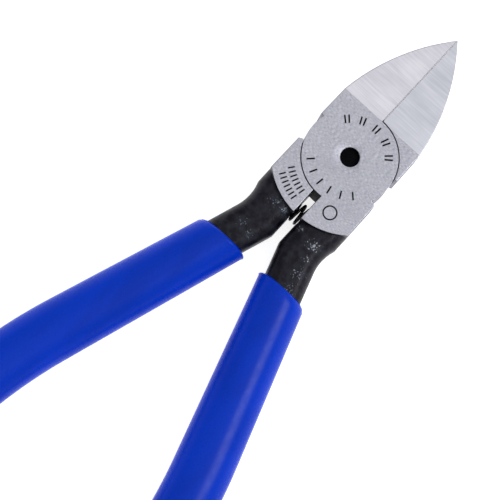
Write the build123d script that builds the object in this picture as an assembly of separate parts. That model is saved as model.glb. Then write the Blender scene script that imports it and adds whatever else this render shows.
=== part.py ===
from build123d import *

import os
from math import cos, radians, sin, tan

# Flush cutter for small wires and plastic gates, drawn with the blades closed.
# Millimetres. The origin is on the pivot axis, in the ground underside of the joint.
# +X runs along the cutting line to the tip and +Z runs up through the flush face.
# The upper half has its blade at +Y and its handle at -Y, the lower half the other way round.
# Shapes that both halves share are drawn at +Y, and about the pivot axis.

# Head
head_thickness = 10.0       # ground face to ground face; the grips lie level with both
tip_reach = 34.9            # pivot axis to the tip
tip_thickness = 4.2
blade_swell = 0.3           # how far the blade is wider than the disc where it begins to thin
blade_bow = 1.87            # how far the blade's outer edge bows out of its chord
heel_angle = 15.2           # back corner of the blade, forward of square across
heel_proud = 0.8            # how far that corner stands out of the disc's rim
edge_gap = 0.03             # cutting line to each blade
edge_land = 0.35            # upright strip under the cutting edge
bevel_angle = 28.0          # underside bevel, from upright
bevel_setback = 0.7         # recess wall to the start of the bevel

# Lap joint
disc_radius = 10.3          # also where the blades begin to thin
disc_gap = 0.2              # disc rim to the recess that turns round it
lap_gap = 0.05              # between the two discs

# Roots of the handles, measured from the disc's rim
shoulder_angle = 21.3       # front corner, back of square across; the other half's heel meets it
shoulder_proud = 1.25
root_proud = 0.6
ground_margin = 6.4         # the ground faces end on an arc this far behind the rim
slot_half_gap = 1.0
slot_length = 12.5          # rim to the end of the slot between the roots
waist_setback = 5.9         # rim to the start of the waist
waist_run = 3.2             # end of the waist, along the handle from the end of the slot

# Shanks and tangs, forged in one piece with the halves
shank_width = 9.3
shank_step = 1.1            # how far the shank lies below each ground face
shank_flat = 1.8            # height of the flat band left along each side between its roundings
shank_cover = 1.5           # recess wall to the front of the shank, inside the root
tang_end_width = 7.0

# Centre line of the handle from the end of the slot: a straight run, then one palm curve
splay_angle = 18.3
splay_run = 49.2
palm_radius = 118.0
palm_sweep = 26.3

# Grips, dipped over the tangs
dip_setback = 7.2           # end of the slot to the front of the grip
grip_front_wall = 1.05
grip_palm_wall = 1.8
grip_end_wall = 3.0
grip_flat = 1.2             # height of the flat band left along each side
grip_clearance = 0.05

# Rivet
rivet_radius = 3.3
rivet_head_lip = 1.0
rivet_head_depth = 1.4
rivet_tight = 0.01          # in the upper half, where it is fixed
rivet_running = 0.04        # in the lower half, which turns on it
dimple_radius = 2.1
dimple_depth = 1.2

# Return spring, held in two blind pockets that face each other across the slot
spring_setback = 5.1        # disc's rim to the spring's axis
spring_outer_radius = 2.5
spring_wire = 0.6
spring_turns = 7
pocket_clearance = 0.2
pocket_depth = 3.5
spring_end_gap = 0.05

mid_z = head_thickness / 2
recess_radius = disc_radius + disc_gap
root_y = disc_radius + root_proud
ground_radius = disc_radius + ground_margin
slot_end = Vector(-disc_radius - slot_length, slot_half_gap)
beyond = 60.0               # long enough to reach past any piece


def upright(radius, low_z, high_z):
    """Cylinder on the pivot axis."""
    base = (Align.CENTER, Align.CENTER, Align.MIN)
    return Pos(0, 0, low_z) * Cylinder(radius, high_z - low_z, align=base)


def centred_slab(plan, thickness):
    """Plan thickened evenly about the middle of the head."""
    return Pos(0, 0, mid_z - thickness / 2) * extrude(plan, thickness, dir=(0, 0, 1))


def placed(shape, side):
    """Shape as drawn at +Y, or its mirror image at -Y."""
    return shape if side > 0 else mirror(shape, about=Plane.XZ)


def about_pivot(radius, angle):
    """Point at an angle from +Y towards +X, round the pivot axis."""
    return Vector(radius * sin(radians(angle)), radius * cos(radians(angle)))


def lines(points):
    """Straight edges from point to point."""
    return [Line(a, b) for a, b in zip(points, points[1:])]


def is_level(edge):
    """Whether an edge runs round a face, not up through the thickness."""
    return abs((edge % 0.5).Z) < 0.5


def handle_station(run):
    """Centre point and outward normal, run millimetres along the handle."""
    splay = radians(splay_angle)
    straight = min(run, splay_run)
    heading = splay - max(0.0, run - splay_run) / palm_radius
    start = slot_end + Vector(sin(splay), cos(splay)) * (shank_width / 2)
    along = Vector(-cos(splay), sin(splay)) * straight
    bow = Vector(sin(heading) - sin(splay), cos(heading) - cos(splay)) * palm_radius
    return start + along + bow, Vector(sin(heading), cos(heading))


def handle_edge(run, width, side):
    """Point on the outer (1) or inner (-1) edge of a band that follows the handle."""
    centre, normal = handle_station(run)
    return centre + normal * (side * width / 2)


def handle_sides(first_run, widths, last_run):
    """Edges out along the handle, round its end and back to the bend; widths at start, bend and end."""
    first, bend, last = widths
    runs = [first_run, splay_run, (splay_run + last_run) / 2, last_run]
    run_widths = [first, bend, (bend + last) / 2, last]
    outer = [handle_edge(run, width, 1) for run, width in zip(runs, run_widths)]
    inner = [handle_edge(run, width, -1) for run, width in zip(runs, run_widths)]
    tip, _ = handle_station(last_run + last / 2)
    return [
        Line(outer[0], outer[1]),
        ThreePointArc(*outer[1:]),
        ThreePointArc(outer[3], tip, inner[3]),
        ThreePointArc(*reversed(inner[1:])),
    ]


def handle_band(widths, last_run):
    """Plan of a band along the handle from the end of the slot, with a round end."""
    sides = handle_sides(0, widths, last_run)
    front = handle_edge(0, widths[0], -1)
    return Face(Wire([*sides, *lines([sides[-1] @ 1, front, sides[0] @ 0])]))


def handle_length():
    """Length of the handle's centre line to the back of the grip."""
    return splay_run + palm_radius * radians(palm_sweep)


def blade(side):
    """One blade at full thickness, thinned to the tip and bevelled underneath."""
    shoulder = Vector(disc_radius, disc_radius + blade_swell)
    tip = Vector(tip_reach, edge_gap)
    chord = tip - shoulder
    bow = (shoulder + tip) / 2 + Vector(-chord.Y, chord.X).normalized() * blade_bow
    heel = about_pivot(disc_radius + heel_proud, heel_angle)
    outline = lines([shoulder, heel, Vector(0, edge_gap), tip])
    solid = centred_slab(Face(Wire([ThreePointArc(tip, bow, shoulder), *outline])), head_thickness)
    slope = (head_thickness - tip_thickness) / 2 / (tip_reach - disc_radius)
    for face in (1, -1):
        wedge = Polygon(
            (disc_radius, face * mid_z),
            (disc_radius + beyond, face * (mid_z - slope * beyond)),
            (disc_radius + beyond, face * beyond),
            (disc_radius, face * beyond),
            align=None,
        )
        solid -= Pos(0, 0, mid_z) * extrude(Plane.XZ * wedge, beyond, both=True)
    return placed(solid - under_bevel(slope), side)


def under_bevel(slope):
    """Wedge that cuts the underside bevel, parallel to a flush face of this slope."""
    start = recess_radius + bevel_setback
    edge_z = head_thickness - slope * (start - disc_radius) - edge_land
    spread = tan(radians(bevel_angle))
    section = Face(Wire.make_polygon([
        (start, -beyond, edge_z + beyond / spread),
        (start, beyond, edge_z - beyond / spread),
        (start, -beyond, edge_z - beyond / spread),
    ]))
    return extrude(section, beyond, dir=(1, 0, -slope))


def handle_plan(front):
    """Plan of a whole forged handle: front corners from the slot wall outwards, waist, shank and tang."""
    waist_start = Vector(-disc_radius - waist_setback, root_y)
    sides = handle_sides(waist_run, tang_widths(), tang_last_run())
    waist_end = sides[0] @ 0
    return Face(Wire([
        *lines([*front, waist_start]),
        TangentArc(waist_end, waist_start, tangent=waist_end - sides[0] @ 1),
        *sides,
        *lines([sides[-1] @ 1, slot_end, front[0]]),
    ]))


def tang_widths(extra=0.0):
    """Widths of the shank and tang at start, bend and end, grown by extra on each side."""
    return [width + 2 * extra for width in (shank_width, shank_width, tang_end_width)]


def tang_last_run():
    """Run at which the round end of the tang begins."""
    return handle_length() - grip_end_wall - tang_end_width / 2


def root_block(side):
    """Full-thickness root of a handle, from the shoulder to the ground arc."""
    shoulder = about_pivot(disc_radius + shoulder_proud, -shoulder_angle)
    solid = centred_slab(handle_plan([Vector(0, slot_half_gap), shoulder]), head_thickness)
    return placed(solid & upright(ground_radius, 0, head_thickness), side)


def bar(plan, extra=0.0):
    """Forged bar of the shank's thickness, rounded all round but for its hidden front end."""
    thickness = head_thickness - 2 * shank_step
    solid = centred_slab(plan, thickness + 2 * extra)
    rounded = solid.edges().filter_by(is_level).sort_by(Axis.X)[:-2]
    return fillet(rounded, (thickness - shank_flat) / 2 + extra)


def shank(side):
    """Forged shank from inside the root block to the end of the tang."""
    front_x = -recess_radius - shank_cover
    return placed(bar(handle_plan([Vector(front_x, slot_half_gap), Vector(front_x, root_y)])), side)


def rivet(extra=0.0):
    """Rivet with two countersunk heads, ground flush; extra grows its radius."""
    shaft = rivet_radius + extra
    head = shaft + rivet_head_lip
    profile = Polygon(
        (0, 0),
        (head, 0),
        (shaft, rivet_head_depth),
        (shaft, head_thickness - rivet_head_depth),
        (head, head_thickness),
        (0, head_thickness),
        align=None,
    )
    return revolve(Plane.XZ * profile, Axis.Z)


def pocket(side):
    """Blind round pocket for one end of the return spring."""
    depth = slot_half_gap + pocket_depth
    drill = Cylinder(spring_outer_radius + pocket_clearance, depth, rotation=(90, 0, 0))
    return placed(Pos(-disc_radius - spring_setback, depth / 2, mid_z) * drill, side)


def half(blade_side, own_layer, other_layer, rivet_clearance):
    """Blade, half-thickness disc and shank of one half, in one forging."""
    handle_side = -blade_side
    body = blade(blade_side) + root_block(handle_side) + shank(handle_side)
    body -= upright(recess_radius, *other_layer)
    body += upright(disc_radius, *own_layer)
    return body - rivet(rivet_clearance) - pocket(handle_side)


def pivot_rivet():
    """Rivet with the round dimple in its upper head."""
    return rivet() - upright(dimple_radius, head_thickness - dimple_depth, beyond)


def return_spring():
    """Coil spring lying across the slot."""
    length = 2 * (slot_half_gap + pocket_depth - spring_end_gap) - spring_wire
    coil = Helix(length / spring_turns, length, spring_outer_radius - spring_wire / 2)
    section = Plane(origin=coil @ 0, z_dir=coil % 0) * Circle(spring_wire / 2)
    wire = sweep(section, path=coil, is_frenet=True)
    return Pos(-disc_radius - spring_setback, -length / 2, mid_z) * Rot(-90, 0, 0) * wire


def grip(side):
    """Dipped sleeve over the tang, cut square to the tool at the dip line, closed at the back."""
    widths = [
        shank_width + 2 * grip_front_wall,
        shank_width + 2 * grip_palm_wall,
        tang_end_width + 2 * grip_end_wall,
    ]
    dip_x = slot_end.X - dip_setback
    ahead = Rectangle(beyond, 2 * beyond, align=(Align.MIN, Align.CENTER))
    plan = handle_band(widths, handle_length() - widths[-1] / 2) - Pos(dip_x, 0) * ahead
    solid = centred_slab(plan, head_thickness)
    rounded = [e for e in solid.edges() if is_level(e) and (e @ 0.5).X < dip_x - grip_clearance]
    solid = fillet(rounded, (head_thickness - grip_flat) / 2)
    hollow = bar(handle_band(tang_widths(grip_clearance), tang_last_run()), grip_clearance)
    return placed(solid - hollow, side)


own_upper = (mid_z + lap_gap / 2, head_thickness)
own_lower = (0, mid_z - lap_gap / 2)
under_upper = (-beyond, own_upper[0])
over_lower = (own_lower[1], beyond)

nodes = {
    "upper_half": half(1, own_upper, under_upper, rivet_tight),
    "lower_half": half(-1, own_lower, over_lower, rivet_running),
    "pivot_rivet": pivot_rivet(),
    "return_spring": return_spring(),
    "upper_grip": grip(-1),
    "lower_grip": grip(1),
}

os.makedirs("parts", exist_ok=True)
for name, shape in nodes.items():
    export_step(shape, f"parts/{name}.step")
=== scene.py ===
import logging
import math
from dataclasses import dataclass
from enum import Enum

import bmesh
import bpy
import numpy as np
from mathutils import Matrix, Vector


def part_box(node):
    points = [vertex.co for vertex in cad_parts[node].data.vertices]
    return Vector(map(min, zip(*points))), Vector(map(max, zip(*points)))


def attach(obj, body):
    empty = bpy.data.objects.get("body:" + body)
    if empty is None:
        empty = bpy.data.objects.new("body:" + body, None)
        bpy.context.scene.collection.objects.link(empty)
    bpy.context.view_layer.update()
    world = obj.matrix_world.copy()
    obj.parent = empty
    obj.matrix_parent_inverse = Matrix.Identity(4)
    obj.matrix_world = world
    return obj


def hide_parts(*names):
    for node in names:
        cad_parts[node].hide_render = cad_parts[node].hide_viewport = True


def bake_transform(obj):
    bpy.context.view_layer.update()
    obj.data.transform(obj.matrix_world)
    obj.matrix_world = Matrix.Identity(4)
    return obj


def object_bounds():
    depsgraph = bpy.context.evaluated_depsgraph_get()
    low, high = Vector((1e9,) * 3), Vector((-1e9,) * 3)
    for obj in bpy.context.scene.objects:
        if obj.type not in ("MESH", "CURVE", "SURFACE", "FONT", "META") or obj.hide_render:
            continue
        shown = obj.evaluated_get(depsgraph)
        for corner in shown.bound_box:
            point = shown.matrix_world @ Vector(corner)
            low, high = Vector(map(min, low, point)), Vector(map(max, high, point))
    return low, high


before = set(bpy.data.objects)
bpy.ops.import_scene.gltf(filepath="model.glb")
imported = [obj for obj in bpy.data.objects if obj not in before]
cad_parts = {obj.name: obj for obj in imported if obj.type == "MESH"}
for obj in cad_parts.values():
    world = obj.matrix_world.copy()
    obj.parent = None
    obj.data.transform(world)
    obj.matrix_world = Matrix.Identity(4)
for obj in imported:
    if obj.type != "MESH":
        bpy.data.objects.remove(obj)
cad_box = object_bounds()

# The looks of a flush cutter, built round its packed assembly. Metres; +X runs along the
# cutting line to the tip and +Z up through the flush face, with the origin on the pivot axis.

MM = 0.001
log = logging.getLogger("flush_cutter")


class Body(Enum):
    """The two moving bodies, and the side of the cutting line that each one's handle lies on."""

    UPPER = ("upper", -1)
    LOWER = ("lower", 1)

    @property
    def rides(self) -> str:
        """Name of the body that its pieces ride on."""
        return self.value[0]

    @property
    def handle_side(self) -> int:
        """1 where the handle lies at +Y, -1 where it lies at -Y."""
        return self.value[1]


class Slot(Enum):
    """Material slots of the record."""

    FORGED = "forged_steel"
    RIVET = "rivet_steel"
    SPRING = "spring_steel"
    VINYL = "dipped_vinyl"


class Zone(Enum):
    """Differently finished faces of a forged half; the value is the face's material index."""

    GROUND = 0
    FACET = 1
    FLANK = 2
    OXIDE = 3
    ETCHED = 4
    SLOT_SHADE = 5


# ---------------------------------------------------------------- nodes and meshes


def linear(hex_colour: str) -> tuple[float, float, float, float]:
    """Turns an sRGB hex colour to linear RGBA.

    Args:
        hex_colour: Such as "#1C3A5E".

    Returns:
        Red, green, blue and alpha as Blender's sockets take them.
    """
    channels = [int(hex_colour[place:place + 2], 16) / 255 for place in (1, 3, 5)]
    bent = [c / 12.92 if c <= 0.04045 else ((c + 0.055) / 1.055) ** 2.4 for c in channels]
    return (*bent, 1.0)


def add(tree: bpy.types.NodeTree, kind: str, inputs: dict | tuple = (), **settings) -> bpy.types.Node:
    """Adds a node with its settings and links.

    Args:
        tree: The tree that takes the node.
        kind: Blender's type name of the node.
        inputs: A value, a socket or a node whose live output is taken, for each input: by name
            or index, or in order from the first.
        settings: The node's own attributes.

    Returns:
        The node.
    """
    node = tree.nodes.new(kind)
    for name, value in settings.items():
        setattr(node, name, value)
    for key, value in inputs.items() if isinstance(inputs, dict) else enumerate(inputs):
        if isinstance(value, bpy.types.Node):
            value = next(output for output in value.outputs if output.enabled)
        if isinstance(value, bpy.types.NodeSocket):
            tree.links.new(value, node.inputs[key])
        else:
            node.inputs[key].default_value = value
    return node


def grains(tree: bpy.types.NodeTree, size_mm: tuple[float, float, float], shift: float = 0.0,
           detail: float = 2.0) -> bpy.types.NodeSocket:
    """Pattern of grains with a real size, fixed to the tool.

    Args:
        tree: Material tree.
        size_mm: Size of a grain along X, Y and Z.
        shift: Moves the pattern, so that two uses differ.
        detail: Finer octaves on top of the first.

    Returns:
        Socket with the pattern, mostly from 0.3 to 0.7.
    """
    laid = add(tree, "ShaderNodeMapping", {
        "Vector": add(tree, "ShaderNodeTexCoord").outputs["Object"],
        "Location": (shift, shift, shift),
        "Scale": [1 / (size * MM) for size in size_mm],
    })
    return add(tree, "ShaderNodeTexNoise", {"Vector": laid, "Scale": 1.0, "Detail": detail}).outputs["Fac"]


def new_material(name: str) -> tuple[bpy.types.Material, bpy.types.NodeTree]:
    """Makes a material with an empty node tree.

    Args:
        name: Name of the real finish.

    Returns:
        The material and its tree.
    """
    material = bpy.data.materials.new(name)
    material.use_nodes = True
    material.node_tree.nodes.clear()
    return material, material.node_tree


def surface(tree: bpy.types.NodeTree, inputs: dict, relief: object, depth: float) -> None:
    """Ends a material tree in a Principled shader with a bump.

    Args:
        tree: Material tree.
        inputs: Sockets and values of the shader.
        relief: Node or socket with the height pattern, from 0 to 1.
        depth: Real height of the relief, in metres.
    """
    bump = add(tree, "ShaderNodeBump", {"Strength": 1.0, "Distance": depth, "Height": relief})
    shader = add(tree, "ShaderNodeBsdfPrincipled", {**inputs, "Normal": bump})
    add(tree, "ShaderNodeOutputMaterial", {"Surface": shader})


def link(name: str, mesh: bpy.types.Mesh) -> bpy.types.Object:
    """Puts a mesh in the scene as a new piece.

    Args:
        name: Name of the piece and of its mesh.
        mesh: The mesh.

    Returns:
        The piece, at the origin.
    """
    mesh.name = name
    piece = bpy.data.objects.new(name, mesh)
    bpy.context.scene.collection.objects.link(piece)
    return piece


def settle(piece: bpy.types.Object) -> bpy.types.Object:
    """Makes a piece's modifiers part of its own plain mesh.

    Args:
        piece: Piece with live modifiers.

    Returns:
        The same piece without them.
    """
    graph = bpy.context.evaluated_depsgraph_get()
    plain = bpy.data.meshes.new_from_object(piece.evaluated_get(graph))
    piece.modifiers.clear()
    piece.data = plain
    plain.name = piece.name
    return piece


def grow(piece: bpy.types.Object, tree: bpy.types.NodeTree, sizes: dict) -> bpy.types.Object:
    """Runs a Geometry Nodes tree on a piece and keeps the plain result.

    Args:
        piece: Piece that the tree replaces the mesh of.
        tree: Geometry Nodes tree.
        sizes: Value for each named input of the tree.

    Returns:
        The piece, holding the realised mesh.
    """
    modifier = piece.modifiers.new(tree.name, "NODES")
    modifier.node_group = tree
    for item in tree.interface.items_tree:
        if item.name in sizes:
            modifier[item.identifier] = sizes[item.name]
    return settle(piece)


def geometry_tree(name: str, sizes: dict[str, str]) -> tuple[bpy.types.NodeTree, bpy.types.Node]:
    """Starts a Geometry Nodes tree with named inputs.

    Args:
        name: Name of the tree.
        sizes: Socket type of each named input.

    Returns:
        The tree and its input node.
    """
    tree = bpy.data.node_groups.new(name, "GeometryNodeTree")
    tree.interface.new_socket("Geometry", in_out="INPUT", socket_type="NodeSocketGeometry")
    tree.interface.new_socket("Geometry", in_out="OUTPUT", socket_type="NodeSocketGeometry")
    for label, kind in sizes.items():
        tree.interface.new_socket(label, in_out="INPUT", socket_type=kind)
    return tree, add(tree, "NodeGroupInput")


def finish_geometry(tree: bpy.types.NodeTree, geometry: bpy.types.NodeSocket,
                    material: bpy.types.NodeSocket) -> None:
    """Ends a Geometry Nodes tree in Realize Instances and Set Material.

    Args:
        tree: The tree.
        geometry: What it has made.
        material: Input that carries the material.
    """
    real = add(tree, "GeometryNodeRealizeInstances", {"Geometry": geometry})
    dressed = add(tree, "GeometryNodeSetMaterial", {"Geometry": real, "Material": material})
    add(tree, "NodeGroupOutput", {"Geometry": dressed})


# ---------------------------------------------------------------- finishes


@dataclass(frozen=True)
class BeltGroundSteel:
    """Hardened tool steel ground on a belt: a satin grey broken up by fine scratches along Y.

    The real grit leaves scratches about 0.05 mm apart; they are drawn several times
    coarser, because finer ones would average out to one flat grey.
    """

    name: str
    light: str
    dark: str
    roughness: float
    scratch_mm: tuple[float, float]
    relief_um: float
    clouding: float
    seam_shade_mm: float = 0.0
    seam_shade: str = "#3C3B44"

    def make(self) -> bpy.types.Material:
        """Wires the material; the seam shade is painted shade, a dark band along the closed cutting line where
        the two blades meet.

        Returns:
            The material.
        """
        material, tree = new_material(self.name)
        spacing, length = self.scratch_mm
        grain = grains(tree, (spacing, length, spacing), detail=3.0)
        cloud = grains(tree, (4.0, 7.0, 4.0), shift=3.0)
        tone = add(tree, "ShaderNodeMix", {0: self.clouding, 2: grain, 3: cloud})
        share = add(tree, "ShaderNodeMapRange", (tone, 0.36, 0.64, 0.0, 1.0))
        colour = add(
            tree, "ShaderNodeMix", {0: share, 6: linear(self.dark), 7: linear(self.light)}, data_type="RGBA"
        )
        # Painted shade: the facet is darkened in a narrow band along the cutting line, where the two blades
        # meet.
        if self.seam_shade_mm:
            place = add(tree, "ShaderNodeTexCoord").outputs["Object"]
            across = add(tree, "ShaderNodeSeparateXYZ", (place,)).outputs["Y"]
            away = add(tree, "ShaderNodeMath", (across,), operation="ABSOLUTE")
            reach = self.seam_shade_mm * MM
            seam_shade_share = add(tree, "ShaderNodeMapRange", (away, 0.5 * reach, reach, 1.0, 0.0))
            colour = add(
                tree, "ShaderNodeMix", {0: seam_shade_share, 6: colour, 7: linear(self.seam_shade)}, data_type="RGBA"
            )
        surface(tree, {
            "Base Color": colour,
            "Metallic": 1.0,
            "Roughness": add(
                tree, "ShaderNodeMapRange", (grain, 0.3, 0.7, self.roughness + 0.06, self.roughness - 0.06)
            ),
        }, grain, self.relief_um * MM * MM)
        return material


@dataclass(frozen=True)
class WearAndSheenPatch:
    """Round patch where a shank is rubbed and a painted sheen lightens the black: its middle and reach, and how
    strong the wear and the sheen are.
    """

    x_mm: float
    y_mm: float
    reach_mm: float
    wear_and_sheen: float


@dataclass(frozen=True)
class BlackOxide:
    """Forged steel left as struck and blackened: half gloss, softly pitted, worn in specks.

    The wear gathers in patches, where fingers and other tools rub through the black
    to the grey steel on the highest of the forging's fine pits; the same patches also
    lighten the black itself, a painted sheen.
    """

    name: str
    black: str
    scale: str
    worn: str
    roughness: float
    patches: tuple[WearAndSheenPatch, ...]
    shift: float
    speck_mm: float = 0.4
    whole: float = 0.73

    def wear_and_sheen(self, tree: bpy.types.NodeTree) -> bpy.types.Node | float:
        """How strong the wear and the painted sheen are, from the nearest patch.

        Args:
            tree: Material tree.

        Returns:
            Node with 0 away from the patches, rising to each one's middle.
        """
        place = add(tree, "ShaderNodeTexCoord").outputs["Object"]
        flat = add(tree, "ShaderNodeVectorMath", (place, (1.0, 1.0, 0.0)), operation="MULTIPLY")
        most = 0.0
        for patch in self.patches:
            middle = (patch.x_mm * MM, patch.y_mm * MM, 0.0)
            away = add(tree, "ShaderNodeVectorMath", (flat, middle), operation="DISTANCE")
            gone = add(
                tree, "ShaderNodeMapRange", (away.outputs["Value"], 0.0, patch.reach_mm * MM, patch.wear_and_sheen, 0.0)
            )
            most = add(tree, "ShaderNodeMath", (most, gone), operation="MAXIMUM")
        return most

    def make(self) -> bpy.types.Material:
        """Wires the material.

        Returns:
            The material.
        """
        material, tree = new_material(self.name)
        size = self.speck_mm
        speck = grains(tree, (size, size, size), self.shift, detail=4.0)
        forged = grains(tree, (1.3, 1.3, 1.3), self.shift + 5, detail=4.0)
        wear_and_sheen = self.wear_and_sheen(tree)
        wear = add(tree, "ShaderNodeMath", (speck, wear_and_sheen), operation="ADD")
        share = add(tree, "ShaderNodeMapRange", (wear, self.whole, self.whole + 0.14, 0.0, 1.0))
        # Painted sheen: the patches also lighten the black itself towards the scale colour, besides wearing it
        # through in specks.
        scale_and_sheen = add(tree, "ShaderNodeMath", (forged, wear_and_sheen), operation="ADD")
        shade = add(tree, "ShaderNodeMapRange", (scale_and_sheen, 0.4, 0.78, 0.0, 1.0))
        black = add(
            tree, "ShaderNodeMix", {0: shade, 6: linear(self.black), 7: linear(self.scale)}, data_type="RGBA"
        )
        relief = add(tree, "ShaderNodeMath", (speck, 0.25, forged), operation="MULTIPLY_ADD")
        surface(tree, {
            "Base Color": add(
                tree, "ShaderNodeMix", {0: share, 6: black, 7: linear(self.worn)}, data_type="RGBA"
            ),
            "Metallic": add(tree, "ShaderNodeMapRange", (share, 0.0, 1.0, 0.1, 0.9)),
            "Roughness": add(
                tree, "ShaderNodeMapRange", (forged, 0.3, 0.7, self.roughness - 0.08, self.roughness + 0.08)
            ),
            "Specular IOR Level": 0.22,
        }, relief, 0.12 * MM)
        return material


@dataclass(frozen=True)
class MusicWire:
    """Hard drawn spring wire with a thin coat of oil: near black with sharp highlights."""

    name: str
    black: str
    grey: str
    roughness: float

    def make(self) -> bpy.types.Material:
        """Wires the material.

        Returns:
            The material.
        """
        material, tree = new_material(self.name)
        drawn = grains(tree, (0.25, 0.25, 0.25), detail=3.0)
        share = add(tree, "ShaderNodeMapRange", (drawn, 0.35, 0.65, 0.0, 1.0))
        surface(tree, {
            "Base Color": add(
                tree, "ShaderNodeMix", {0: share, 6: linear(self.black), 7: linear(self.grey)}, data_type="RGBA"
            ),
            "Metallic": 1.0,
            "Roughness": add(
                tree, "ShaderNodeMapRange", (drawn, 0.3, 0.7, self.roughness - 0.05, self.roughness + 0.08)
            ),
        }, drawn, 0.008 * MM)
        return material


@dataclass(frozen=True)
class DippedVinyl:
    """PVC plastisol that the hot handle was dipped in: an even colour, wet smooth, half gloss.

    It cures with a faint orange peel about 2 mm across and slow swells where it ran.
    """

    name: str
    light: str
    dark: str
    roughness: float

    def make(self) -> bpy.types.Material:
        """Wires the material.

        Returns:
            The material.
        """
        material, tree = new_material(self.name)
        cloud = grains(tree, (14.0, 6.0, 6.0))
        peel = grains(tree, (2.2, 1.6, 1.6), shift=2.0)
        run = grains(tree, (16.0, 7.0, 7.0), shift=7.0)
        share = add(tree, "ShaderNodeMapRange", (cloud, 0.35, 0.65, 0.0, 1.0))
        surface(tree, {
            "Base Color": add(
                tree, "ShaderNodeMix", {0: share, 6: linear(self.dark), 7: linear(self.light)}, data_type="RGBA"
            ),
            "Roughness": add(
                tree, "ShaderNodeMapRange", (peel, 0.3, 0.7, self.roughness - 0.03, self.roughness + 0.04)
            ),
            "IOR": 1.53,
            "Specular IOR Level": 0.11,
            "Subsurface Weight": 0.04,
            "Subsurface Radius": (0.2, 0.3, 1.0),
            "Subsurface Scale": 0.6 * MM,
        }, add(tree, "ShaderNodeMath", (peel, 0.08, run), operation="MULTIPLY_ADD"), 0.05 * MM)
        return material


@dataclass(frozen=True)
class DullBlack:
    """Black left by electrolytic marking, and painted shade on the disc rims deep in the slot: dull and grainy,
    with no gloss.
    """

    name: str
    black: str
    grey: str

    def make(self) -> bpy.types.Material:
        """Wires the material.

        Returns:
            The material.
        """
        material, tree = new_material(self.name)
        grain = grains(tree, (0.3, 0.3, 0.3))
        share = add(tree, "ShaderNodeMapRange", (grain, 0.3, 0.7, 0.0, 1.0))
        surface(tree, {
            "Base Color": add(
                tree, "ShaderNodeMix", {0: share, 6: linear(self.black), 7: linear(self.grey)}, data_type="RGBA"
            ),
            "Roughness": add(tree, "ShaderNodeMapRange", (grain, 0.3, 0.7, 0.55, 0.75)),
            "Specular IOR Level": 0.1,
        }, grain, 0.01 * MM)
        return material


GROUND_FACE = BeltGroundSteel("belt_ground_tool_steel", "#D0D1DB", "#A0A1AD", 0.42, (0.13, 0.6), 3.0, 0.12)
# The side and lap faces keep their linished grain, and are also painted much darker than the ground face:
# painted shade.
FLANK = BeltGroundSteel("linished_tool_steel_painted_shade", "#8A8994", "#636270", 0.45, (0.6, 0.35), 5.0, 0.4)
# The two stoned facets are one steel: the upper half's copy is painted lighter and the lower half's darker,
# painted light and shade.
PAINTED_LIT_FACET = BeltGroundSteel("stoned_tool_steel_painted_lit", "#E8E6EE", "#D2D0DA", 0.38, (0.3, 9.0), 3.0, 0.5, 0.13)
PAINTED_SHADED_FACET = BeltGroundSteel("stoned_tool_steel_painted_shaded", "#DDDEE7", "#C8CAD5", 0.38, (0.3, 9.0), 3.0, 0.5, 0.13)
WIRE = MusicWire("oiled_music_wire", "#101014", "#3A3A42", 0.22)
VINYL = DippedVinyl("dipped_blue_vinyl", "#003ACB", "#0035BC", 0.28)
BLACKED = MusicWire("blackened_dimple", "#09090B", "#17171B", 0.55)
ETCH = DullBlack("etched_black", "#08080A", "#18181C")
# Painted shade: near black on the back of the disc rims, where they sit deep in the slot.
SLOT_SHADE_BLACK = DullBlack("painted_slot_shade_black", "#050506", "#121216")
# Each shank's patches hold worn grey specks and a painted sheen that lightens the black.
UPPER_OXIDE = BlackOxide("black_oxide_upper", "#060412", "#262733", "#A3A7B0", 0.40, (
    WearAndSheenPatch(-18.1, -2.5, 1.3, 0.30),
    WearAndSheenPatch(-19.1, -6.9, 2.4, 0.32),
    WearAndSheenPatch(-22.2, -7.6, 2.2, 0.20),
    WearAndSheenPatch(-25.4, -8.7, 2.8, 0.24),
    WearAndSheenPatch(-28.7, -9.4, 2.4, 0.20),
), 11.0)
LOWER_OXIDE = BlackOxide("black_oxide_lower", "#060412", "#262733", "#7E8A96", 0.40, (
    WearAndSheenPatch(-17.6, 2.6, 2.3, 0.28),
    WearAndSheenPatch(-17.3, 5.0, 2.8, 0.24),
    WearAndSheenPatch(-25.6, 7.2, 2.6, 0.19),
    WearAndSheenPatch(-26.6, 4.8, 2.2, 0.20),
), 23.0)


# ---------------------------------------------------------------- measuring the frame


def cad_points(node: str) -> np.ndarray:
    """Vertex places of a CAD node, as rows of X, Y and Z."""
    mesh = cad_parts[node].data
    places = np.empty(len(mesh.vertices) * 3, np.float32)
    mesh.vertices.foreach_get("co", places)
    return places.reshape(-1, 3).astype(float)


def cad_triangles(node: str) -> np.ndarray:
    """Corner places of a CAD node's triangles, shaped (triangles, 3, 3)."""
    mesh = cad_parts[node].data
    mesh.calc_loop_triangles()
    corners = np.empty(len(mesh.loop_triangles) * 3, np.int32)
    mesh.loop_triangles.foreach_get("vertices", corners)
    return cad_points(node)[corners].reshape(-1, 3, 3)


def cut_across(triangles: np.ndarray, x: float) -> np.ndarray:
    """Cuts triangles with an upright plane square to the tool.

    Args:
        triangles: Corner places, shaped (triangles, 3, 3).
        x: Where the plane stands.

    Returns:
        Ends of the cut lines in Y and Z, shaped (lines, 2, 2).
    """
    above = triangles[:, :, 0] > x
    crossing = triangles[above.any(1) & ~above.all(1)]
    above = crossing[:, :, 0] > x
    lone = np.where(above.sum(1) == 1, above.argmax(1), (~above).argmax(1))
    rows = np.arange(len(crossing))
    peak = crossing[rows, lone]
    ends = []
    for step in (1, 2):
        base = crossing[rows, (lone + step) % 3]
        share = (x - peak[:, 0]) / (base[:, 0] - peak[:, 0])
        ends.append(peak[:, 1:] + (base[:, 1:] - peak[:, 1:]) * share[:, None])
    return np.stack(ends, 1)


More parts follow.
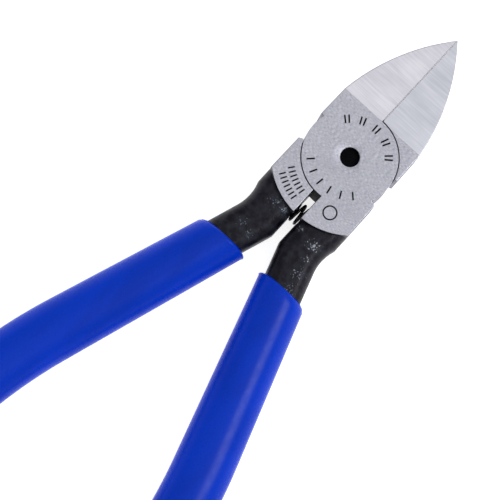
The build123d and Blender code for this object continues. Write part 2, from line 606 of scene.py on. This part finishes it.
def reaches(lines: np.ndarray, centre: np.ndarray, angles: np.ndarray) -> tuple[np.ndarray, np.ndarray]:
    """Nearest and farthest places where rays from a centre meet a cut.

    Args:
        lines: Ends of the cut lines, shaped (lines, 2, 2).
        centre: Y and Z of the rays' start.
        angles: Direction of each ray.

    Returns:
        Distance to the nearest and to the farthest line along each ray.
    """
    start = lines[:, 0] - centre
    along = lines[:, 1] - lines[:, 0]
    nearest, farthest = [], []
    for angle in angles:
        ray = np.array([math.cos(angle), math.sin(angle)])
        turn = ray[0] * along[:, 1] - ray[1] * along[:, 0]
        turn[np.abs(turn) < 1e-15] = 1e-15
        share = (ray[1] * start[:, 0] - ray[0] * start[:, 1]) / turn
        reach = (start[:, 0] * along[:, 1] - start[:, 1] * along[:, 0]) / turn
        hit = reach[(share >= -1e-6) & (share <= 1 + 1e-6) & (reach > 0)]
        nearest.append(hit.min())
        farthest.append(hit.max())
    return np.array(nearest), np.array(farthest)


# ---------------------------------------------------------------- sub-assemblies


@dataclass
class MarkRow:
    """A row of etched strokes on an arc round the pivot; angles run from +Y towards +X."""

    count: int
    radius: float
    first_deg: float
    step_deg: float
    length: float
    width: float


@dataclass
class RingMark:
    """An etched ring, such as a maker sets beside a row of strokes."""

    x: float
    y: float
    radius: float
    width: float
    steps: int = 48

    def cutter(self, face_z: float, depth: float) -> bpy.types.Mesh:
        """Makes the ring that it is cut with, half of it above the face.

        Args:
            face_z: Height of the ground face.
            depth: Depth of the cut.

        Returns:
            A closed ring of square section.
        """
        ring = bmesh.new()
        loops = []
        for step in range(self.steps):
            angle = step / self.steps * math.tau
            out = Vector((math.cos(angle), math.sin(angle), 0.0))
            middle = Vector((self.x, self.y, face_z))
            across, up = out * (self.width / 2), Vector((0, 0, depth))
            line = middle + out * self.radius
            loops.append([
                ring.verts.new(line + corner)
                for corner in (across - up, across + up, up - across, -up - across)
            ])
        for one, other in zip(loops, [*loops[1:], loops[0]]):
            for corner in range(4):
                seam_shade_share = (corner + 1) % 4
                ring.faces.new((one[corner], other[corner], other[seam_shade_share], one[seam_shade_share]))
        bmesh.ops.recalc_face_normals(ring, faces=ring.faces)
        mesh = bpy.data.meshes.new("ring")
        ring.to_mesh(mesh)
        ring.free()
        return mesh


@dataclass
class EtchedMarks:
    """Index strokes and rings etched into a ground face."""

    name: str
    marks: tuple[MarkRow | RingMark, ...]
    face_z: float
    depth: float

    @staticmethod
    def tree() -> bpy.types.NodeTree:
        """Wires the tree that sets strokes round an arc.

        Returns:
            The tree, made once.
        """
        made = bpy.data.node_groups.get("etched_strokes")
        if made:
            return made
        real, whole = "NodeSocketFloat", "NodeSocketInt"
        tree, given = geometry_tree("etched_strokes", {
            "Count": whole, "Radius": real, "First": real, "Step": real, "Length": real,
            "Width": real, "Depth": real, "Height": real, "Material": "NodeSocketMaterial",
        })
        size = given.outputs
        points = add(tree, "GeometryNodePoints", {"Count": size["Count"]})
        angle = add(
            tree, "ShaderNodeMath", (add(tree, "GeometryNodeInputIndex"), size["Step"], size["First"]),
            operation="MULTIPLY_ADD",
        )
        turn = add(tree, "ShaderNodeMath", (angle, -1.0), operation="MULTIPLY")
        start = add(tree, "ShaderNodeCombineXYZ", {"Y": size["Radius"], "Z": size["Height"]})
        place = add(tree, "ShaderNodeVectorRotate", {"Vector": start, "Axis": (0.0, 0.0, 1.0), "Angle": turn})
        set_out = add(tree, "GeometryNodeSetPosition", {"Geometry": points, "Position": place})
        block = add(tree, "ShaderNodeCombineXYZ", {
            "X": size["Width"], "Y": size["Length"], "Z": size["Depth"],
        })
        strokes = add(tree, "GeometryNodeInstanceOnPoints", {
            "Points": set_out,
            "Instance": add(tree, "GeometryNodeMeshCube", {"Size": block}),
            "Rotation": add(tree, "ShaderNodeCombineXYZ", {"Z": turn}),
        })
        finish_geometry(tree, strokes.outputs["Instances"], size["Material"])
        return tree

    def cutters(self) -> bpy.types.Object:
        """Makes the blocks that the strokes are cut with, half of each above the face.

        Returns:
            One object with a block for each stroke.
        """
        blocks = bmesh.new()
        for mark in self.marks:
            if isinstance(mark, RingMark):
                blocks.from_mesh(mark.cutter(self.face_z, self.depth))
                continue
            piece = grow(link(f"{self.name}_row", bpy.data.meshes.new("row")), self.tree(), {
                "Count": mark.count,
                "Radius": mark.radius,
                "First": math.radians(mark.first_deg),
                "Step": math.radians(mark.step_deg),
                "Length": mark.length,
                "Width": mark.width,
                "Depth": 2 * self.depth,
                "Height": self.face_z,
                "Material": material_of(ETCH),
            })
            blocks.from_mesh(piece.data)
            bpy.data.objects.remove(piece)
        mesh = bpy.data.meshes.new(self.name)
        blocks.to_mesh(mesh)
        blocks.free()
        return link(self.name, mesh)


def material_of(finish: object) -> bpy.types.Material:
    """A finish's material, made the first time that it is asked for."""
    return bpy.data.materials.get(finish.name) or finish.make()


@dataclass
class ForgedHalf:
    """One forging: blade, half-lapped disc, root, shank and tang."""

    node: str
    body: Body
    facet: BeltGroundSteel
    oxide: BlackOxide
    marks: tuple[MarkRow | RingMark, ...]
    outline_break: float = 0.25 * MM
    arc_break: float = 0.14 * MM
    lap_break: float = 0.07 * MM
    etch_depth: float = 0.06 * MM
    square_angle: float = math.radians(30)

    def __post_init__(self) -> None:
        """Measures the forging on its CAD node."""
        places = cad_points(self.node)
        low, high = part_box(self.node)
        self.floor_z, self.face_z, self.tip_x = low.z, high.z, high.x
        self.middle_z = (low.z + high.z) / 2
        face = places[places[:, 2] > self.face_z - 0.01 * MM]
        self.facet_x = face[:, 0].max()
        self.disc_radius = self.facet_x
        behind = face[face[:, 0] < -self.disc_radius]
        self.ground_radius = np.hypot(behind[:, 0], behind[:, 1]).max()
        root_y = np.abs(behind[:, 1]).max()
        self.root_x = -math.sqrt(self.ground_radius ** 2 - root_y ** 2)

    def zone(self, face: bmesh.types.BMFace) -> Zone:
        """Says how a face of the forging is finished.

        Args:
            face: Face of the merged CAD mesh.

        Returns:
            Its zone.
        """
        centre = face.calc_center_median()
        level = abs(centre.z - self.middle_z)
        flat = abs(face.normal.z)
        if flat > 0.99 and level > self.face_z - self.middle_z - 0.01 * MM:
            return Zone.GROUND
        if centre.x > self.facet_x and flat > 0.3:
            return Zone.FACET
        # Painted shade: the back of the disc rim, deep in the slot, is coloured black.
        if abs(centre.xy.length - self.disc_radius) < 0.2 * MM and centre.x < -0.9 * self.disc_radius:
            return Zone.SLOT_SHADE
        in_slot = centre.x < MM - self.disc_radius and abs(centre.y) < 1.6 * MM
        if centre.x < self.root_x or in_slot:
            return Zone.OXIDE
        return Zone.FLANK

    def edge_break(self, edge: bmesh.types.BMEdge) -> float:
        """Width that an edge is broken by.

        Args:
            edge: Edge of the merged CAD mesh.

        Returns:
            Width in metres, or 0 where the edge stays sharp.
        """
        if len(edge.link_faces) != 2 or not edge.is_convex:
            return 0.0
        if edge.calc_face_angle(0.0) < self.square_angle:
            return 0.0
        steep, flat = sorted(abs(face.normal.z) for face in edge.link_faces)
        centre = (edge.verts[0].co + edge.verts[1].co) / 2
        radius = centre.xy.length
        level = abs(centre.z - self.middle_z) / (self.face_z - self.middle_z)
        at_lap = level < (0.99 if centre.x < -self.disc_radius else 0.3)
        at_edge = abs(centre.y) < 0.35 * MM and centre.x > 0
        at_tip = centre.x > self.tip_x - 1.2 * MM
        in_bore = radius < self.disc_radius / 2
        if steep > 0.5 or flat < 0.9 or at_lap or at_edge or at_tip or in_bore:
            return 0.0
        if abs(radius - self.disc_radius) < 0.3 * MM:
            return self.lap_break
        if abs(radius - self.ground_radius) < 0.05 * MM and centre.x < 0:
            return self.arc_break
        return self.outline_break

    @staticmethod
    def split(solid: bmesh.types.BMesh, x: float, faces: list[bmesh.types.BMFace], keep: bool) -> None:
        """Splits faces along an upright plane, so that no flat face is left with a hole in it.

        Args:
            solid: The mesh.
            x: Where the plane stands.
            faces: Faces that it may split.
            keep: Whether the new edges outlast the merging of flat faces.
        """
        edges = {edge for face in faces for edge in face.edges}
        corners = {corner for face in faces for corner in face.verts}
        cut = bmesh.ops.bisect_plane(
            solid, geom=[*corners, *edges, *faces], plane_co=(x, 0, 0), plane_no=(1, 0, 0)
        )
        for part in cut["geom_cut"]:
            if isinstance(part, bmesh.types.BMEdge):
                part.seam = keep

    def body_mesh(self) -> bpy.types.Mesh:
        """Merges the CAD mesh into clean faces, each in its zone.

        Returns:
            The mesh, with its edges still square.
        """
        solid = bmesh.new()
        solid.from_mesh(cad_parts[self.node].data)
        bmesh.ops.remove_doubles(solid, verts=solid.verts, dist=0.001 * MM)
        spring_low, spring_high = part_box("return_spring")
        slot_walls = [
            face for face in solid.faces
            if abs(face.normal.y) > 0.99 and abs(face.calc_center_median().y) < 1.3 * MM
            and face.calc_center_median().x < -self.disc_radius
        ]
        self.split(solid, (spring_low.x + spring_high.x) / 2, slot_walls, True)
        self.split(solid, 0.0, solid.faces[:], True)
        self.split(solid, self.root_x, solid.faces[:], False)
        bmesh.ops.remove_doubles(solid, verts=solid.verts, dist=0.004 * MM)
        for face in solid.faces:
            face.material_index = self.zone(face).value
        bmesh.ops.dissolve_limit(
            solid, angle_limit=math.radians(0.3), verts=solid.verts, edges=solid.edges,
            delimit={"MATERIAL", "SEAM"},
        )
        mesh = bpy.data.meshes.new(self.node)
        solid.to_mesh(mesh)
        solid.free()
        return mesh

    def etch(self, piece: bpy.types.Object) -> None:
        """Cuts the marks into the ground face and blackens the floors and walls of the strokes.

        Args:
            piece: The forging with broken edges.
        """
        cutters = EtchedMarks(f"{self.node}_strokes", self.marks, self.face_z, self.etch_depth).cutters()
        etched = piece.modifiers.new("etched", "BOOLEAN")
        etched.operation = "DIFFERENCE"
        etched.solver = "EXACT"
        etched.object = cutters
        settle(piece)
        bpy.data.objects.remove(cutters)
        for face in piece.data.polygons:
            sunk = (self.face_z - face.center.z) / self.etch_depth
            if 0.1 < sunk < 1.1 and not 0.01 < abs(face.normal.z) < 0.99:
                face.material_index = Zone.ETCHED.value

    def break_edges(self, piece: bpy.types.Object) -> None:
        """Breaks the square edges of the forging.

        Args:
            piece: The forging with square edges.
        """
        solid = bmesh.new()
        solid.from_mesh(piece.data)
        weights = solid.edges.layers.float.new("bevel_weight_edge")
        for edge in solid.edges:
            edge[weights] = self.edge_break(edge) / self.outline_break
        solid.to_mesh(piece.data)
        solid.free()
        breaks = piece.modifiers.new("edge_breaks", "BEVEL")
        breaks.limit_method = "WEIGHT"
        breaks.width = self.outline_break
        breaks.segments = 2
        breaks.use_clamp_overlap = False
        settle(piece)

    def shade(self, piece: bpy.types.Object) -> None:
        """Shades the forging smooth, with sharp lines where finishes meet and at square edges.

        Args:
            piece: The forging with broken edges.
        """
        solid = bmesh.new()
        solid.from_mesh(piece.data)
        for face in solid.faces:
            face.smooth = True
        for edge in solid.edges:
            if len(edge.link_faces) != 2:
                continue
            one, other = edge.link_faces
            angle = edge.calc_face_angle(0.0)
            meets = one.material_index != other.material_index and angle > math.radians(2)
            edge.smooth = not (meets or angle > math.radians(50))
        solid.to_mesh(piece.data)
        solid.free()
        weighted = piece.modifiers.new("weighted", "WEIGHTED_NORMAL")
        weighted.keep_sharp = True
        settle(piece)

    def build(self) -> bpy.types.Object:
        """Builds the forging, etches it and dresses it.

        Returns:
            The finished piece.
        """
        piece = link(f"{self.node}_forging", self.body_mesh())
        for finish in (GROUND_FACE, self.facet, FLANK, self.oxide, ETCH, SLOT_SHADE_BLACK):
            piece.data.materials.append(material_of(finish))
        self.break_edges(piece)
        self.etch(piece)
        self.shade(piece)
        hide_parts(self.node)
        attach(piece, self.body.rides)
        return piece


@dataclass
class PivotRivet:
    """Rivet through both discs, ground flush, with a blackened dimple in its upper head."""

    node: str = "pivot_rivet"
    dimple_break: float = 0.12 * MM

    def build(self) -> bpy.types.Object:
        """Builds and dresses the rivet.

        Returns:
            The finished piece.
        """
        low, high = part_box(self.node)
        solid = bmesh.new()
        solid.from_mesh(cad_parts[self.node].data)
        bmesh.ops.remove_doubles(solid, verts=solid.verts, dist=0.001 * MM)
        bmesh.ops.dissolve_limit(
            solid, angle_limit=math.radians(0.3), verts=solid.verts, edges=solid.edges, delimit=set()
        )
        rim = [
            edge for edge in solid.edges
            if all(v.co.z > high.z - 0.01 * MM and v.co.xy.length < high.x * 0.7 for v in edge.verts)
            and edge.calc_face_angle(0.0) > math.radians(60)
        ]
        bmesh.ops.bevel(solid, geom=rim, offset=self.dimple_break, segments=3, profile=0.5, affect="EDGES")
        for face in solid.faces:
            face.smooth = True
            centre = face.calc_center_median()
            inside = centre.xy.length < high.x * 0.6 and low.z + MM < centre.z < high.z - self.dimple_break
            face.material_index = int(inside)
        for edge in solid.edges:
            edge.smooth = edge.calc_face_angle(0.0) < math.radians(35)
        mesh = bpy.data.meshes.new(self.node)
        solid.to_mesh(mesh)
        solid.free()
        piece = link("pivot_rivet_ground_flush", mesh)
        for finish in (GROUND_FACE, BLACKED):
            mesh.materials.append(material_of(finish))
        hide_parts(self.node)
        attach(piece, Body.UPPER.rides)
        return piece


@dataclass
class ReturnSpring:
    """Coil spring across the slot, with a closed coil at each end."""

    node: str = "return_spring"
    wire: float = 0.6 * MM
    turns: float = 8.0
    closed_turns: float = 1.0
    steps_per_turn: int = 40
    wire_sides: int = 14

    @staticmethod
    def tree() -> bpy.types.NodeTree:
        """Wires the tree that winds wire along Y.

        Returns:
            The tree.
        """
        real, whole = "NodeSocketFloat", "NodeSocketInt"
        tree, given = geometry_tree("wound_spring", {
            "Radius": real, "Wire": real, "Length": real, "Turns": real, "Closed": real,
            "Steps": whole, "Sides": whole, "Centre": "NodeSocketVector", "Material": "NodeSocketMaterial",
        })
        size = given.outputs
        line = add(tree, "GeometryNodeCurvePrimitiveLine")
        points = add(tree, "GeometryNodeResampleCurve", {"Curve": line, "Count": size["Steps"]})
        share = add(tree, "GeometryNodeSplineParameter").outputs["Factor"]
        turn = add(tree, "ShaderNodeMath", (share, size["Turns"]), operation="MULTIPLY")
        last = add(tree, "ShaderNodeMath", (size["Turns"], size["Closed"]), operation="SUBTRACT")
        closed_front = add(tree, "ShaderNodeMath", (turn, size["Closed"]), operation="MINIMUM")
        past_last = add(tree, "ShaderNodeMath", (turn, last), operation="SUBTRACT")
        closed_back = add(tree, "ShaderNodeMath", (past_last, 0.0), operation="MAXIMUM")
        closed = add(tree, "ShaderNodeMath", (closed_front, closed_back), operation="ADD")
        opened = add(tree, "ShaderNodeMath", (turn, closed), operation="SUBTRACT")
        open_turns = add(tree, "ShaderNodeMath", (last, size["Closed"]), operation="SUBTRACT")
        closed_turns = add(tree, "ShaderNodeMath", (size["Turns"], open_turns), operation="SUBTRACT")
        closed_length = add(tree, "ShaderNodeMath", (closed_turns, size["Wire"]), operation="MULTIPLY")
        open_length = add(tree, "ShaderNodeMath", (size["Length"], closed_length), operation="SUBTRACT")
        pitch = add(tree, "ShaderNodeMath", (open_length, open_turns), operation="DIVIDE")
        closed_rise = add(tree, "ShaderNodeMath", (closed, size["Wire"]), operation="MULTIPLY")
        rise = add(tree, "ShaderNodeMath", (opened, pitch, closed_rise), operation="MULTIPLY_ADD")
        height = add(tree, "ShaderNodeMath", (size["Length"], -0.5, rise), operation="MULTIPLY_ADD")
        wound = add(tree, "ShaderNodeVectorRotate", {
            "Vector": add(tree, "ShaderNodeCombineXYZ", {"X": size["Radius"], "Y": height}),
            "Axis": (0.0, -1.0, 0.0),
            "Angle": add(tree, "ShaderNodeMath", (turn, math.tau), operation="MULTIPLY"),
        })
        place = add(tree, "ShaderNodeVectorMath", (wound, size["Centre"]), operation="ADD")
        section = add(tree, "GeometryNodeCurvePrimitiveCircle", {
            "Resolution": size["Sides"],
            "Radius": add(tree, "ShaderNodeMath", (size["Wire"], 0.5), operation="MULTIPLY"),
        })
        drawn = add(tree, "GeometryNodeCurveToMesh", {
            "Curve": add(tree, "GeometryNodeSetPosition", {"Geometry": points, "Position": place}),
            "Profile Curve": section,
            "Fill Caps": True,
        })
        smooth = add(tree, "GeometryNodeSetShadeSmooth", {"Geometry": drawn})
        finish_geometry(tree, smooth.outputs["Geometry"], size["Material"])
        return tree

    def build(self) -> bpy.types.Object:
        """Winds and dresses the spring.

        Returns:
            The finished piece.
        """
        low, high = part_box(self.node)
        centre = (low + high) / 2
        length = high.y - low.y - self.wire
        piece = grow(link("return_spring_wound", bpy.data.meshes.new("spring")), self.tree(), {
            "Radius": (high.x - low.x - self.wire) / 2,
            "Wire": self.wire,
            "Length": length,
            "Turns": self.turns,
            "Closed": self.closed_turns,
            "Steps": int(self.turns * self.steps_per_turn),
            "Sides": self.wire_sides,
            "Centre": centre,
            "Material": material_of(WIRE),
        })
        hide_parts(self.node)
        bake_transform(piece)
        return piece


@dataclass
class DippedGrip:
    """Vinyl sleeve dipped over a tang, cut square to the tool, round in section."""

    node: str
    body: Body
    lip: float = 0.75 * MM
    inner_lip: float = 0.3 * MM
    roundness: float = 1.0
    stations: int = 120
    around: int = 72
    lip_steps: int = 6
    skin: float = 0.03 * MM

    def __post_init__(self) -> None:
        """Reads the sleeve's solid from the frame."""
        self.triangles = cad_triangles(self.node)
        low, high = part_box(self.node)
        self.back_x, self.front_x = low.x, high.x
        self.angles = np.arange(self.around) * math.tau / self.around

    def section(self, x: float) -> tuple[np.ndarray, np.ndarray, np.ndarray]:
        """Measures the sleeve where an upright plane cuts it.

        Args:
            x: Where the plane stands.

        Returns:
            Centre in Y and Z, and the inner and the outer reach in each direction round it.
        """
        lines = cut_across(self.triangles, x)
        low, high = lines.reshape(-1, 2).min(0), lines.reshape(-1, 2).max(0)
        centre, half = (low + high) / 2, (high - low) / 2
        inner, outer = reaches(lines, centre, self.angles)
        ellipse = 1 / np.hypot(np.cos(self.angles) / half[0], np.sin(self.angles) / half[1])
        rounded = outer + (np.minimum(ellipse, outer) - outer) * self.roundness
        return centre, inner, rounded

    def ring(self, x: float, centre: np.ndarray, reach: np.ndarray) -> list[Vector]:
        """Points of one ring.

        Args:
            x: Where the ring stands.
            centre: Its centre in Y and Z.
            reach: Distance of each point from the centre.

        Returns:
            The points, turning from +Y to +Z.
        """
        return [
            Vector((x, centre[0] + r * math.cos(a), centre[1] + r * math.sin(a)))
            for a, r in zip(self.angles, reach)
        ]

    def rings(self) -> list[list[Vector]]:
        """Rings from the inside of the back end, forward, round the lip and back outside.

        Returns:
            The rings in order.
        """
        length = self.front_x - self.back_x
        steps = np.linspace(0, math.pi / 2, self.stations)
        runs = (1 - np.cos(steps)) * (length - self.lip)
        outside, inside = [], []
        for run in runs[1:]:
            x = self.back_x + run
            centre, inner, outer = self.section(x)
            outside.append(self.ring(x, centre, outer))
            if (inner < outer * 0.97).all():
                inside.append(self.ring(x, centre, inner - self.skin))
        centre, inner, outer = self.section(self.front_x - self.skin)
        lip = []
        for step in range(1, self.lip_steps + 1):
            turn = step / self.lip_steps * math.pi / 2
            x = self.front_x - self.lip * (1 - math.sin(turn))
            lip.append(self.ring(x, centre, outer - self.lip * (1 - math.cos(turn))))
        for step in range(self.lip_steps + 1):
            turn = step / self.lip_steps * math.pi / 2
            x = self.front_x - self.inner_lip * (1 - math.cos(turn))
            lip.append(self.ring(x, centre, inner + self.inner_lip * (1 - math.sin(turn))))
        return [*outside, *lip, *reversed(inside)]

    def build(self) -> bpy.types.Object:
        """Builds and dresses the sleeve.

        Returns:
            The finished piece.
        """
        solid = bmesh.new()
        rings = [[solid.verts.new(point) for point in ring] for ring in self.rings()]
        for one, other in zip(rings, rings[1:]):
            for place in range(self.around):
                seam_shade_share = (place + 1) % self.around
                solid.faces.new((one[place], one[seam_shade_share], other[seam_shade_share], other[place]))
        back = sum((v.co for v in rings[0]), Vector()) / self.around
        back.x = self.back_x
        hollow = sum((v.co for v in rings[-1]), Vector()) / self.around
        for ring, pole in ((rings[0], back), (rings[-1], hollow)):
            middle = solid.verts.new(pole)
            for place in range(self.around):
                solid.faces.new((ring[place], ring[(place + 1) % self.around], middle))
        bmesh.ops.recalc_face_normals(solid, faces=solid.faces)
        for face in solid.faces:
            face.smooth = True
        mesh = bpy.data.meshes.new(self.node)
        solid.to_mesh(mesh)
        solid.free()
        mesh.materials.append(material_of(VINYL))
        piece = link(f"{self.node}_sleeve", mesh)
        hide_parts(self.node)
        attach(piece, self.body.rides)
        return piece


# ---------------------------------------------------------------- studio


@dataclass
class SoftBox:
    """A square lamp that points at the head of the tool."""

    name: str
    towards: tuple[float, float, float]
    distance: float
    width: float
    height: float
    watts: float

    def place(self, target: Vector) -> None:
        """Hangs the lamp.

        Args:
            target: Point that it faces.
        """
        lamp = bpy.data.lights.new(self.name, "AREA")
        lamp.shape = "RECTANGLE"
        lamp.size, lamp.size_y = self.width, self.height
        lamp.energy = self.watts
        holder = bpy.data.objects.new(self.name, lamp)
        away = Vector(self.towards).normalized()
        holder.location = target + away * self.distance
        holder.rotation_euler = away.to_track_quat("Z", "Y").to_euler()
        bpy.context.scene.collection.objects.link(holder)


@dataclass
class Studio:
    """White table, soft lamps and the camera over the tool."""

    tilt_deg: float = 10.0
    tilt_along: tuple[float, float] = (-0.98, -0.19)
    roll: tuple[float, float] = (0.6769, -0.7361)
    frame_width: float = 105 * MM
    centre_right: float = -21.0 * MM
    centre_up: float = -19.5 * MM
    distance: float = 1.0
    sensor_mm: float = 36.0
    table_radius: float = 3.0
    table_gap: float = 0.02 * MM
    wall_light: float = 1.15
    corner_light: float = 0.35
    roof_light: float = 0.66

    def camera(self) -> None:
        """Sets the camera over the head, tipped a little towards the handles."""
        tilt = math.radians(self.tilt_deg)
        back = Vector((*[math.sin(tilt) * part for part in self.tilt_along], math.cos(tilt))).normalized()
        level = (Vector((1, 0, 0)) - back * back.x).normalized()
        across = back.cross(level)
        right = level * self.roll[0] + across * self.roll[1]
        up = across * self.roll[0] - level * self.roll[1]
        pivot = Vector((0, 0, cad_box[1].z))
        aim = pivot + right * self.centre_right + up * self.centre_up
        lens = bpy.data.cameras.new("camera")
        lens.sensor_width = self.sensor_mm
        lens.lens = self.sensor_mm * self.distance / self.frame_width
        camera = bpy.data.objects.new("camera", lens)
        turned = Matrix((right, up, back)).transposed().to_4x4()
        camera.matrix_world = Matrix.Translation(aim + back * self.distance) @ turned
        bpy.context.scene.collection.objects.link(camera)
        bpy.context.scene.camera = camera

    def table(self) -> None:
        """Lays a white back-lit acrylic table under the tool."""
        disc = bmesh.new()
        bmesh.ops.create_circle(disc, cap_ends=True, segments=96, radius=self.table_radius)
        bmesh.ops.translate(disc, verts=disc.verts, vec=(0, 0, cad_box[0].z - self.table_gap))
        mesh = bpy.data.meshes.new("table")
        disc.to_mesh(mesh)
        disc.free()
        material, tree = new_material("opal_acrylic_table")
        shader = add(tree, "ShaderNodeBsdfPrincipled", {
            "Base Color": linear("#F6F6F8"),
            "Roughness": 0.7,
            "Emission Color": linear("#FFFFFF"),
            "Emission Strength": 0.8,
        })
        add(tree, "ShaderNodeOutputMaterial", {"Surface": shader.outputs["BSDF"]})
        mesh.materials.append(material)
        link("table", mesh)

    def lights(self) -> None:
        """Fills the room with even white light and hangs the soft boxes."""
        world = bpy.data.worlds.new("white_tent")
        world.use_nodes = True
        tree = world.node_tree
        tree.nodes.clear()
        up = add(tree, "ShaderNodeSeparateXYZ", {
            "Vector": add(tree, "ShaderNodeTexCoord").outputs["Generated"],
        }).outputs["Z"]
        walls = add(tree, "ShaderNodeMapRange", (up, 0.15, 0.5, self.wall_light, self.corner_light))
        roof = add(tree, "ShaderNodeMapRange", (up, 0.55, 0.95, self.corner_light, self.roof_light))
        glow = add(tree, "ShaderNodeMath", (walls, roof), operation="MAXIMUM")
        tent = add(tree, "ShaderNodeBackground", {"Color": linear("#FFFFFF"), "Strength": glow})
        add(tree, "ShaderNodeOutputWorld", {"Surface": tent})
        bpy.context.scene.world = world
        low, high = cad_box
        target = (low + high) / 2
        boxes = (
            SoftBox("front", (0.42, 0.0, 1.0), 2.0, 0.6, 1.2, 1.0),
            SoftBox("side", (0.31, -0.48, 0.80), 2.0, 0.32, 0.8, 9.5),
        )
        for box in boxes:
            box.place(target)

    def set_up(self) -> None:
        """Builds the whole studio."""
        self.camera()
        self.table()
        self.lights()
        bpy.context.scene.view_settings.view_transform = "Standard"


# ---------------------------------------------------------------- the tool

# Plain strokes: five pairs round the front of the disc and six round its back, with a ring
# beside them, on the upper half, and two short rows on the lower half's root.
LONG, FINE = 1.8 * MM, 0.36 * MM
DISC_MARKS = (
    MarkRow(5, 8.2 * MM, 41.0, 23.6, LONG, FINE),
    MarkRow(5, 8.2 * MM, 47.0, 23.6, LONG, FINE),
    MarkRow(6, 8.3 * MM, -45.0, -18.2, LONG, FINE),
    RingMark(-11.7 * MM, -4.8 * MM, 1.45 * MM, 0.32 * MM),
)
ROOT_MARKS = (
    MarkRow(7, 12.6 * MM, -78.0, 4.2, 1.5 * MM, 0.32 * MM),
    MarkRow(7, 14.7 * MM, -78.0, 3.6, 1.5 * MM, 0.32 * MM),
)


def main() -> None:
    """Builds the studio and every sub-assembly, and reports each piece."""
    logging.basicConfig(level=logging.INFO, format="%(name)s: %(message)s")
    Studio().set_up()
    assemblies = (
        ForgedHalf("upper_half", Body.UPPER, PAINTED_LIT_FACET, UPPER_OXIDE, DISC_MARKS),
        ForgedHalf("lower_half", Body.LOWER, PAINTED_SHADED_FACET, LOWER_OXIDE, ROOT_MARKS),
        PivotRivet(),
        ReturnSpring(),
        DippedGrip("upper_grip", Body.UPPER),
        DippedGrip("lower_grip", Body.LOWER),
    )
    for assembly in assemblies:
        piece = assembly.build()
        log.info("%s: %d faces", piece.name, len(piece.data.polygons))


if __name__ == "__main__":
    main()
